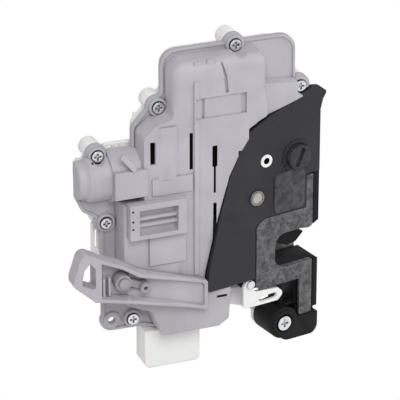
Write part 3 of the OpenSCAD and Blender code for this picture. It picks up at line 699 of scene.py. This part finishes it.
@dataclass(frozen=True)
class SoftShoulder:
    """The soft shoulder along the top and sides of the housing's raised form, in its own frame.

    Args:
        low: the height from which the shoulder starts, and blend the height over which it grows.
        width: how far it reaches in from the form's outline.
        depth: how far the outline's edge lies behind the front.
        steps: the grid's lines, in from each edge.
        rows: how many lines go up the form, pitch apart.
        margin: how far outside the outline a corner still counts.
    """

    left: float = -56.5
    right: float = -1.5
    top: float = 67.0
    low: float = 36.0
    front: float = -15.0
    left_corner: float = 8.0
    right_corner: float = 6.0
    width: float = 6.0
    depth: float = 5.0
    blend: float = 9.0
    steps: tuple[float, ...] = (0.5, 1.2, 2.0, 3.0, 4.0, 5.0, 6.0, 7.0)
    rows: int = 8
    pitch: float = 2.5
    margin: float = 0.05

    def inside(self, u: float, w: float) -> float:
        """Return how far a place lies inside the form's outline."""
        for middle, radius, beyond in (
            (self.left + self.left_corner, self.left_corner, u < self.left + self.left_corner),
            (self.right - self.right_corner, self.right_corner, u > self.right - self.right_corner),
        ):
            if beyond and w > self.top - radius:
                return radius - math.hypot(u - middle, w - self.top + radius)
        return min(u - self.left, self.right - u, self.top - w)

    def surface(self, u: float, w: float) -> float:
        """Return the place of the shoulder's surface, from the front backwards."""
        out = min(max(1.0 - self.inside(u, w) / self.width, 0.0), 1.0)
        depth = eased(self.depth, (w - self.low) / self.blend)
        return self.front + depth * (1.0 - math.sqrt(1.0 - out * out))

    def is_front(self, face: BMFace) -> bool:
        """Say whether a face belongs to the form's front where the shoulder runs."""
        place = in_housing(face.calc_center_median())
        ahead = in_housing(face.calc_center_median() + face.normal * MM) - place
        if ahead.y > -0.99 or not self.front - 0.1 < place.y < self.front + 1.7:
            return False
        return any(in_housing(vert.co).z > self.low for vert in face.verts)

    def apply(self, shape: BMesh) -> None:
        """Cut the form's front into a fine grid along its edges and bring it down to the shoulder."""
        places = [(self.left + step, 0) for step in self.steps]
        places += [(self.right - step, 0) for step in self.steps]
        places += [(self.top - step, 2) for step in self.steps]
        places += [(self.low + self.pitch * index, 2) for index in range(1, self.rows + 1)]
        for place, axis in places:
            faces = [face for face in shape.faces if self.is_front(face)]
            edges = {edge for face in faces for edge in face.edges}
            verts = {vert for face in faces for vert in face.verts}
            cut_across(shape, [*faces, *edges, *verts], place, axis)
        for vert in shape.verts:
            u, v, w = in_housing(vert.co)
            across = self.left - self.margin < u < self.right + self.margin
            if across and self.low < w < self.top + self.margin and v > self.front - 0.1:
                vert.co = from_housing(u, max(v, self.surface(u, w)), w)


@dataclass(frozen=True)
class LowWalls:
    """The walls of the cable bracket, which get lower towards the latch.

    Args:
        start: the place along the housing, in millimetres, from which they get lower.
        end: the place of their end.
        floor: the place of the bracket's floor, from the flange forwards.
        share: the share of their height that is gone at the end.
        count: how many lengths they are cut into.
    """

    start: float = -88.0
    end: float = -40.0
    floor: float = -18.0
    share: float = 0.78
    count: int = 8

    def apply(self, shape: BMesh) -> None:
        """Cut the walls into lengths and bring their tops down."""
        for index in range(self.count + 1):
            place = self.start + (self.end - self.start) * index / self.count
            cut_across(shape, [*shape.faces, *shape.edges, *shape.verts], place, 0)
        for vert in shape.verts:
            u, v, w = in_housing(vert.co)
            if v < self.floor - 0.05:
                kept = 1.0 - eased(self.share, (u - self.start) / (self.end - self.start))
                vert.co = from_housing(u, self.floor + (v - self.floor) * kept, w)


@dataclass
class RoundedPart:
    """A CAD node whose sharp edges are rounded as a mould or a press leaves them.

    Args:
        node: the CAD node's name.
        radius: radius of the rounded edges in metres.
        steps: faces across each rounded edge.
        sharp_from: the angle in degrees from which an edge counts as sharp.
        rounds: how often the rounding may be made smaller, each time to the share shrink.
        least: the share of the radius under which an edge stays sharp.
        stray: how far, in radii, the rounding may leave the surface.
        side_share: the share of a blunt edge's length that a rounding may take.
        bend_share: that share of a sharp edge, over the bend's tangent, at turns under bend degrees.
        corner_share: that share of a sharp edge at wider turns.
        shapers: what changes the node's shape before its edges are rounded.
    """

    node: str
    radius: float
    steps: int = 2
    sharp_from: float = 32.0
    rounds: int = 14
    shrink: float = 0.55
    least: float = 0.03
    stray: float = 0.7
    side_share: float = 0.45
    bend_share: float = 0.4
    bend: float = 40.0
    corner_share: float = 0.42
    shapers: tuple[Trim | SoftShoulder | LowWalls, ...] = ()

    def merged(self, source: Object) -> BMesh:
        """Return the node's mesh with its loose triangles merged into whole faces."""
        shape = bmesh.new()
        shape.from_mesh(source.data)
        bmesh.ops.remove_doubles(shape, verts=shape.verts, dist=MERGE_GAP)
        bmesh.ops.dissolve_limit(shape, angle_limit=FLAT_ANGLE, verts=shape.verts, edges=shape.edges)
        return shape

    def room_at(self, vert: BMVert, sharp: set[int]) -> float:
        """Return the largest radius, in metres, that a corner's edges in sharp have room for."""
        room = self.radius
        marked = [edge for edge in vert.link_edges if edge.index in sharp]
        for edge in vert.link_edges:
            if edge.index not in sharp:
                room = min(room, self.side_share * edge.calc_length())
        for index, first in enumerate(marked):
            for second in marked[index + 1:]:
                ahead = (vert.co - first.other_vert(vert).co).normalized()
                turn = ahead.angle(second.other_vert(vert).co - vert.co, 0.0)
                short = min(first.calc_length(), second.calc_length())
                if turn < math.radians(self.bend):
                    room = min(room, self.bend_share * short / max(math.tan(turn / 2.0), 1e-3))
                else:
                    room = min(room, self.corner_share * short)
        return room

    def weigh(self, shape: BMesh) -> dict[int, float]:
        """Return the share of the radius that each corner has room for."""
        for parts in (shape.verts, shape.edges):
            parts.ensure_lookup_table()
            parts.index_update()
        sharp = self.sharp_edges(shape)
        return {vert.index: self.room_at(vert, sharp) / self.radius for vert in shape.verts}

    def sharp_edges(self, shape: BMesh) -> set[int]:
        """Return the indices of the edges that get rounded."""
        limit = math.radians(self.sharp_from)
        return {
            edge.index for edge in shape.edges
            if len(edge.link_faces) == 2 and edge.calc_face_angle(0.0) > limit
        }

    def rounded(self, shape: BMesh, rooms: dict[int, float]) -> Mesh:
        """Return the shape's mesh with its sharp edges rounded by the corners' shares."""
        layers = shape.edges.layers.float
        layer = layers.get("bevel_weight_edge") or layers.new("bevel_weight_edge")
        shape.edges.ensure_lookup_table()
        for index in self.sharp_edges(shape):
            edge = shape.edges[index]
            share = min(rooms[edge.verts[0].index], rooms[edge.verts[1].index])
            edge[layer] = share if share > self.least else 0.0
        mesh = bpy.data.meshes.new(self.node + "_raw")
        shape.to_mesh(mesh)
        piece = add_object(self.node + "_raw", mesh)
        bevel = piece.modifiers.new("edges", "BEVEL")
        bevel.width = self.radius
        bevel.segments = self.steps
        bevel.limit_method = "WEIGHT"
        bevel.use_clamp_overlap = False
        bevel.loop_slide = False
        finished = bpy.data.meshes.new_from_object(piece.evaluated_get(bpy.context.evaluated_depsgraph_get()))
        bpy.data.objects.remove(piece)
        bpy.data.meshes.remove(mesh)
        return finished

    def spoiled(self, finished: Mesh, shape: BMesh, tree: BVHTree) -> set[int]:
        """Return the corners beside which the rounding folded over or left the surface.

        Args:
            finished: the rounded mesh.
            shape: the mesh before its edges were rounded.
            tree: the search tree of that mesh.

        Returns:
            The indices of those corners.
        """
        corners: set[int] = set()
        shape.faces.ensure_lookup_table()
        for face in finished.polygons:
            if face.area < 1e-12:
                continue
            _, normal, index, gap = tree.find_nearest(face.center)
            folded = gap < 1e-5 and face.normal.dot(normal) < -0.1
            if folded or gap > self.stray * self.radius:
                beside = [tree.find_nearest(finished.vertices[vert].co)[2] for vert in face.vertices]
                corners.update(near.index for spot in (*beside, index) for near in shape.faces[spot].verts)
        new_tree = BVHTree.FromPolygons(
            [vert.co for vert in finished.vertices], [face.vertices for face in finished.polygons]
        )
        for face in shape.faces:
            _, normal, _, gap = new_tree.find_nearest(face.calc_center_median())
            if gap > self.stray * self.radius or normal.dot(face.normal) < -0.1:
                corners.update(vert.index for vert in face.verts)
        return corners

    def build(self, source: Object) -> Object:
        """Make the rounded copy of the node.

        The rounding is made smaller beside each fold it leaves, until none is left.

        Args:
            source: the CAD node's object.

        Returns:
            The new piece, which stands for the node.
        """
        shape = self.merged(source)
        for shaper in self.shapers:
            shaper.apply(shape)
        wide = [face for face in shape.faces if len(face.verts) > 4]
        bmesh.ops.triangulate(shape, faces=wide, quad_method="BEAUTY", ngon_method="BEAUTY")
        rooms = self.weigh(shape)
        tree = BVHTree.FromBMesh(shape)
        finished = self.rounded(shape, rooms)
        for _ in range(self.rounds):
            corners = self.spoiled(finished, shape, tree)
            if not corners:
                break
            for corner in corners:
                rooms[corner] *= self.shrink
            bpy.data.meshes.remove(finished)
            finished = self.rounded(shape, rooms)
        sharp = sum(room < self.least for room in rooms.values())
        LOG.info("%s: rounded, %d corners left sharp", self.node, sharp)
        shape.free()
        return add_object(self.node + "_rounded", finished)


@dataclass(frozen=True)
class Revolved:
    """A form turned round an axis that runs along the housing.

    Args:
        name: the piece's name.
        profile: places along the axis and radii there, in millimetres.
        axis_v: the axis's place in front of or behind the flange.
        axis_w: the axis's height.
        steps: faces round the axis.
    """

    name: str
    profile: tuple[tuple[float, float], ...]
    axis_v: float
    axis_w: float
    steps: int = 48

    def build(self, front_only: float) -> Object:
        """Turn the profile and keep the part in front of a place.

        Args:
            front_only: the place, from the flange forwards, behind which nothing is made.

        Returns:
            The new piece.
        """
        shape = bmesh.new()
        rings = []
        for place, radius in self.profile:
            ring = []
            for index in range(self.steps + 1):
                turn = math.pi * index / self.steps
                v = min(self.axis_v - radius * math.sin(turn), front_only)
                ring.append(shape.verts.new(from_housing(place, v, self.axis_w + radius * math.cos(turn))))
            rings.append(ring)
        for first, second in zip(rings, rings[1:]):
            for index in range(self.steps):
                shape.faces.new((first[index], first[index + 1], second[index + 1], second[index]))
        bmesh.ops.remove_doubles(shape, verts=shape.verts, dist=RING_GAP)
        bmesh.ops.recalc_face_normals(shape, faces=shape.faces)
        mesh = bpy.data.meshes.new(self.name)
        shape.to_mesh(mesh)
        shape.free()
        return add_object(self.name, mesh)


class RepeatTree(NodeSheet):
    """A Geometry Nodes tree that repeats a small form and ends in Realize Instances and Set Material."""

    def __init__(self, name: str, inputs: dict[str, str]) -> None:
        """Start the tree.

        Args:
            name: the tree's name.
            inputs: names and socket kinds of the tree's inputs.
        """
        super().__init__(bpy.data.node_groups.new(name, "GeometryNodeTree"))
        new_socket = self.tree.interface.new_socket
        new_socket("Geometry", in_out="OUTPUT", socket_type="NodeSocketGeometry")
        self.sockets = {
            label: new_socket(label, in_out="INPUT", socket_type="NodeSocket" + kind).identifier
            for label, kind in {**inputs, "Finish": "Material"}.items()
        }
        self.given = self.add("NodeGroupInput")

    def fed(self, kind: str, sources: dict[str, str], **settings: object) -> Node:
        """Add a node, feed each of its inputs in sources from the tree's input, and return it."""
        node = self.add(kind, **settings)
        for label, source in sources.items():
            self.join(self.given.outputs[source], node.inputs[label])
        return node

    def copies(self, points: Node, form: Node) -> Node:
        """Put a copy of a form on each point and return the node."""
        node = self.add("GeometryNodeInstanceOnPoints")
        self.join(points.outputs["Mesh"], node.inputs["Points"])
        self.join(form.outputs["Mesh"], node.inputs["Instance"])
        return node

    def close(self, result: NodeSocket) -> RepeatTree:
        """Realize the copies, give them the finish, end the tree and return it."""
        real = self.add("GeometryNodeRealizeInstances")
        finish = self.fed("GeometryNodeSetMaterial", {"Material": "Finish"})
        out = self.add("NodeGroupOutput")
        self.join(result, real.inputs["Geometry"])
        self.join(real.outputs["Geometry"], finish.inputs["Geometry"])
        self.join(finish.outputs["Geometry"], out.inputs["Geometry"])
        return self

    def make(self, name: str, place: Vector, turn: Matrix, **values: object) -> Object:
        """Run the tree and return its result as a plain piece.

        Args:
            name: the piece's name.
            place: where the result goes in the shared frame, in metres.
            turn: how it is turned there.
            values: numbers and the material for the tree's inputs.

        Returns:
            The piece, at the origin, with its place in its mesh.
        """
        piece = add_object(name, bpy.data.meshes.new(name))
        modifier = piece.modifiers.new("repeat", "NODES")
        modifier.node_group = self.tree
        for label, value in values.items():
            modifier[self.sockets[label]] = value
        evaluated = piece.evaluated_get(bpy.context.evaluated_depsgraph_get())
        mesh = bpy.data.meshes.new_from_object(evaluated)
        piece.modifiers.clear()
        mesh.transform(Matrix.Translation(place) @ turn)
        piece.data = mesh
        return piece


def tooth_ring_tree() -> RepeatTree:
    """Build the tree of a ring of small teeth, such as a knurl or a star washer."""
    repeat = RepeatTree("ToothRing", {"Radius": "Float", "Count": "Int", "Tooth": "Vector"})
    ring = repeat.fed("GeometryNodeMeshCircle", {"Radius": "Radius", "Vertices": "Count"})
    tooth = repeat.fed("GeometryNodeMeshCube", {"Size": "Tooth"})
    place = repeat.add("GeometryNodeInputPosition")
    turn = repeat.add("FunctionNodeAlignRotationToVector", axis="X")
    repeat.join(place.outputs["Position"], turn.inputs["Vector"])
    teeth = repeat.copies(ring, tooth)
    repeat.join(turn.outputs["Rotation"], teeth.inputs["Rotation"])
    return repeat.close(teeth.outputs["Instances"])


def bar_row_tree() -> RepeatTree:
    """Build the tree of a row of equal bars, such as moulded notches or ribs."""
    repeat = RepeatTree("BarRow", {"Count": "Int", "Pitch": "Vector", "Size": "Vector"})
    line = repeat.fed("GeometryNodeMeshLine", {"Count": "Count", "Offset": "Pitch"}, mode="OFFSET")
    bar = repeat.fed("GeometryNodeMeshCube", {"Size": "Size"})
    return repeat.close(repeat.copies(line, bar).outputs["Instances"])


def coil_tree() -> RepeatTree:
    """Build the tree of a helical wire, such as the turns of a thread."""
    repeat = RepeatTree("Coil", {"Radius": "Float", "Turns": "Float", "Length": "Float", "Wire": "Float"})
    ends = {"Start Radius": "Radius", "End Radius": "Radius", "Rotations": "Turns", "Height": "Length"}
    coil = repeat.fill(repeat.fed("GeometryNodeCurveSpiral", ends), Resolution=20)
    wire = repeat.fill(repeat.fed("GeometryNodeCurvePrimitiveCircle", {"Radius": "Wire"}), Resolution=8)
    solid = repeat.fill(repeat.add("GeometryNodeCurveToMesh"), Fill_Caps=True)
    repeat.join(coil.outputs["Curve"], solid.inputs["Curve"])
    repeat.join(wire.outputs["Curve"], solid.inputs["Profile Curve"])
    return repeat.close(solid.outputs["Mesh"])


def smooth_by_angle(piece: Object, degrees: float) -> None:
    """Shade a piece smooth, with its edges over an angle in degrees left sharp."""
    mesh = piece.data
    shape = bmesh.new()
    shape.from_mesh(mesh)
    limit = math.radians(degrees)
    for face in shape.faces:
        face.smooth = True
    for edge in shape.edges:
        edge.smooth = len(edge.link_faces) == 2 and edge.calc_face_angle(0.0) < limit
    shape.to_mesh(mesh)
    shape.free()


@dataclass
class Lock:
    """The whole lock: which nodes get rounded edges, and what each is finished with.

    Radii and places are in millimetres, those of the cap, the notches and the vent in the housing's frame.
    """

    frame: dict
    materials: dict[str, Material]
    soft_edges: dict[str, float] = field(default_factory=lambda: {
        "front_housing": 0.5, "rear_housing": 0.5, "cable_bracket": 0.4, "latch_cover": 0.5,
        "latch_body": 0.4, "face_plate": 0.35, "release_lever": 0.3, "lock_rotor": 0.35,
        "connector_socket": 0.5, "claw": 0.5, "pawl": 0.3, "back_plate": 0.2, "fixing_bush": 0.25,
        "cable_lever": 0.4, "pawl_pin": 0.3, "strap_screw": 0.2,
        "cover_screws": 0.2, "cable_lever_pin": 0.2, "bump_stop": 0.6,
    })
    shapers: dict[str, tuple[Trim | SoftShoulder | LowWalls, ...]] = field(default_factory=lambda: {
        "rear_housing": (Trim(Zone((-70.6, 13.2, 55.0), (-68.0, 15.2, 61.0), True), 30.4),),
        "front_housing": (SoftShoulder(),),
        "cable_bracket": (LowWalls(),),
    })
    repaints: dict[str, str] = field(default_factory=lambda: {
        "pawl_pin": "rivet_steel", "cable_lever_pin": "lever_grey",
    })
    # Painted shade: faces in these zones are painted near black, as the slots and the bore are dark only from
    # shade.
    painted_shade_zones: dict[str, tuple[Zone, ...]] = field(default_factory=lambda: {
        "front_housing": (
            Zone((-47.5, -14.6, 4.3), (-45.3, -9.8, 26.2), True),
            Zone((-34.2, -14.6, 3.8), (-31.0, -9.8, 16.7), True),
            Zone((-33.4, -14.6, -12.2), (-31.8, -9.8, 4.2), True),
            Zone((-33.8, -14.6, -58.2), (-31.4, -9.8, -17.8), True),
        ),
        "fixing_bush": (Zone((-2.0, -0.3, -2.0), (2.0, 12.9, 2.0)),),
    })
    cap_height: float = 1.5
    cap_profile: tuple[tuple[float, float], ...] = (
        (-101.3, 13.45), (-102.3, 13.3), (-103.3, 12.7), (-104.1, 11.9), (-104.6, 11.45), (-107.8, 11.3),
        (-108.8, 10.9), (-109.3, 10.1), (-109.4, 9.2), (-109.15, 8.6), (-109.15, 6.4), (-109.4, 5.8),
        (-109.4, 0.0),
    )
    pad_zone: Zone = Zone((5.4, -1.2, -34.2), (26.2, -0.12, -9.4))
    rivet_at: Point = (-6.2, -0.95, -21.2)
    thread_at: Point = (0.0, 9.0, 0.0)
    notch_at: Point = (-42.0, -13.5, 65.2)
    vent_at: Point = (-28.2, -14.96, -76.4)

    def paint_zones(self, piece: Object, node: str) -> None:
        """Paint the faces in a node's slots and bore near black as painted shade, and give the raised pad its
        marbling.
        """
        zones, finish = self.painted_shade_zones.get(node, ()), "painted_shade_black"
        if node == "latch_cover":
            zones, finish = (self.pad_zone,), "pad_black"
        if not zones:
            return
        piece.data.materials.append(self.materials[finish])
        for face in piece.data.polygons:
            if any(zone.holds(face.center) for zone in zones):
                face.material_index = 1

    def seat(self, piece: Object, node: str) -> None:
        """Seat a detail on a node's body."""
        body = self.body_of()[node]
        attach(piece, body)

    def add_repeats(self) -> None:
        """Add the details that repeat, and the barrel's cap."""
        upright = Matrix.Rotation(math.radians(90.0), 4, "X")
        turned = Matrix.Rotation(HOUSING_TURN, 4, "Z")
        ring, row, coil = tooth_ring_tree(), bar_row_tree(), coil_tree()
        # The thread in the bore and the thin lower slot bar take the painted shade black.
        grey, black = self.materials["housing_grey"], self.materials["painted_shade_black"]
        knurl = ring.make(
            "rivet_knurl", Vector(self.rivet_at) * MM, upright, Radius=3.8 * MM,
            Count=26, Tooth=(0.85 * MM, 0.5 * MM, 0.5 * MM), Finish=self.materials["rivet_steel"],
        )
        self.seat(knurl, "pawl_pin")
        thread = coil.make(
            "bush_thread", Vector(self.thread_at) * MM, upright, Radius=1.85 * MM,
            Turns=9.0, Length=8.6 * MM, Wire=0.25 * MM, Finish=black,
        )
        self.seat(thread, "fixing_bush")
        notches = row.make(
            "top_notches", from_housing(*self.notch_at), turned, Count=2,
            Pitch=(7.4 * MM, 0.0, 0.6 * MM), Size=(4.4 * MM, 0.9 * MM, 3.2 * MM), Finish=grey,
        )
        self.seat(notches, "front_housing")
        vent = row.make(
            "lower_slot", from_housing(*self.vent_at), turned, Count=1,
            Pitch=(0.0, 0.0, 1.0), Size=(6.0 * MM, 0.3 * MM, 1.3 * MM), Finish=black,
        )
        self.seat(vent, "front_housing")
        cap = Revolved("barrel_cap", self.cap_profile, 1.0, self.cap_height).build(0.4)
        cap.data.materials.append(grey)
        smooth_by_angle(cap, 40.0)
        self.seat(cap, "front_housing")

    def slots(self) -> dict[str, str]:
        """Return the material slot of each node."""
        return {part["node"]: part["material_slot"] for part in self.frame["record"]["subparts"]}

    def body_of(self) -> dict[str, str]:
        """Return the body of each node."""
        bodies = self.frame["record"]["behaviour"]["bodies"]
        return {node: body for body, nodes in bodies.items() for node in nodes}

    def build(self) -> None:
        """Round, dress and seat every node."""
        owners = self.body_of()
        for node, slot_name in self.slots().items():
            source = self.frame["nodes"][node]
            if node in self.soft_edges:
                part = RoundedPart(node, self.soft_edges[node] * MM, shapers=self.shapers.get(node, ()))
                piece = part.build(source)
                piece.data.materials.append(self.materials[self.repaints.get(node, slot_name)])
                self.paint_zones(piece, node)
                smooth_by_angle(piece, 30.0)
                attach(piece, owners[node])
                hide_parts(node)
            else:
                source.data.materials.clear()
                source.data.materials.append(self.materials[slot_name])
                LOG.info("%s: finished as it is", node)
        self.add_repeats()


def main() -> None:
    """Build the studio and the lock."""
    logging.basicConfig(level=logging.INFO, format="%(message)s")
    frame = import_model()
    cad_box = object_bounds()
    Studio().build(float(cad_box[0][2]))
    effects = Effects()
    materials = {slot_name: finish.build(effects) for slot_name, finish in finishes().items()}
    Lock(frame, materials).build()


if __name__ == "__main__":
    main()
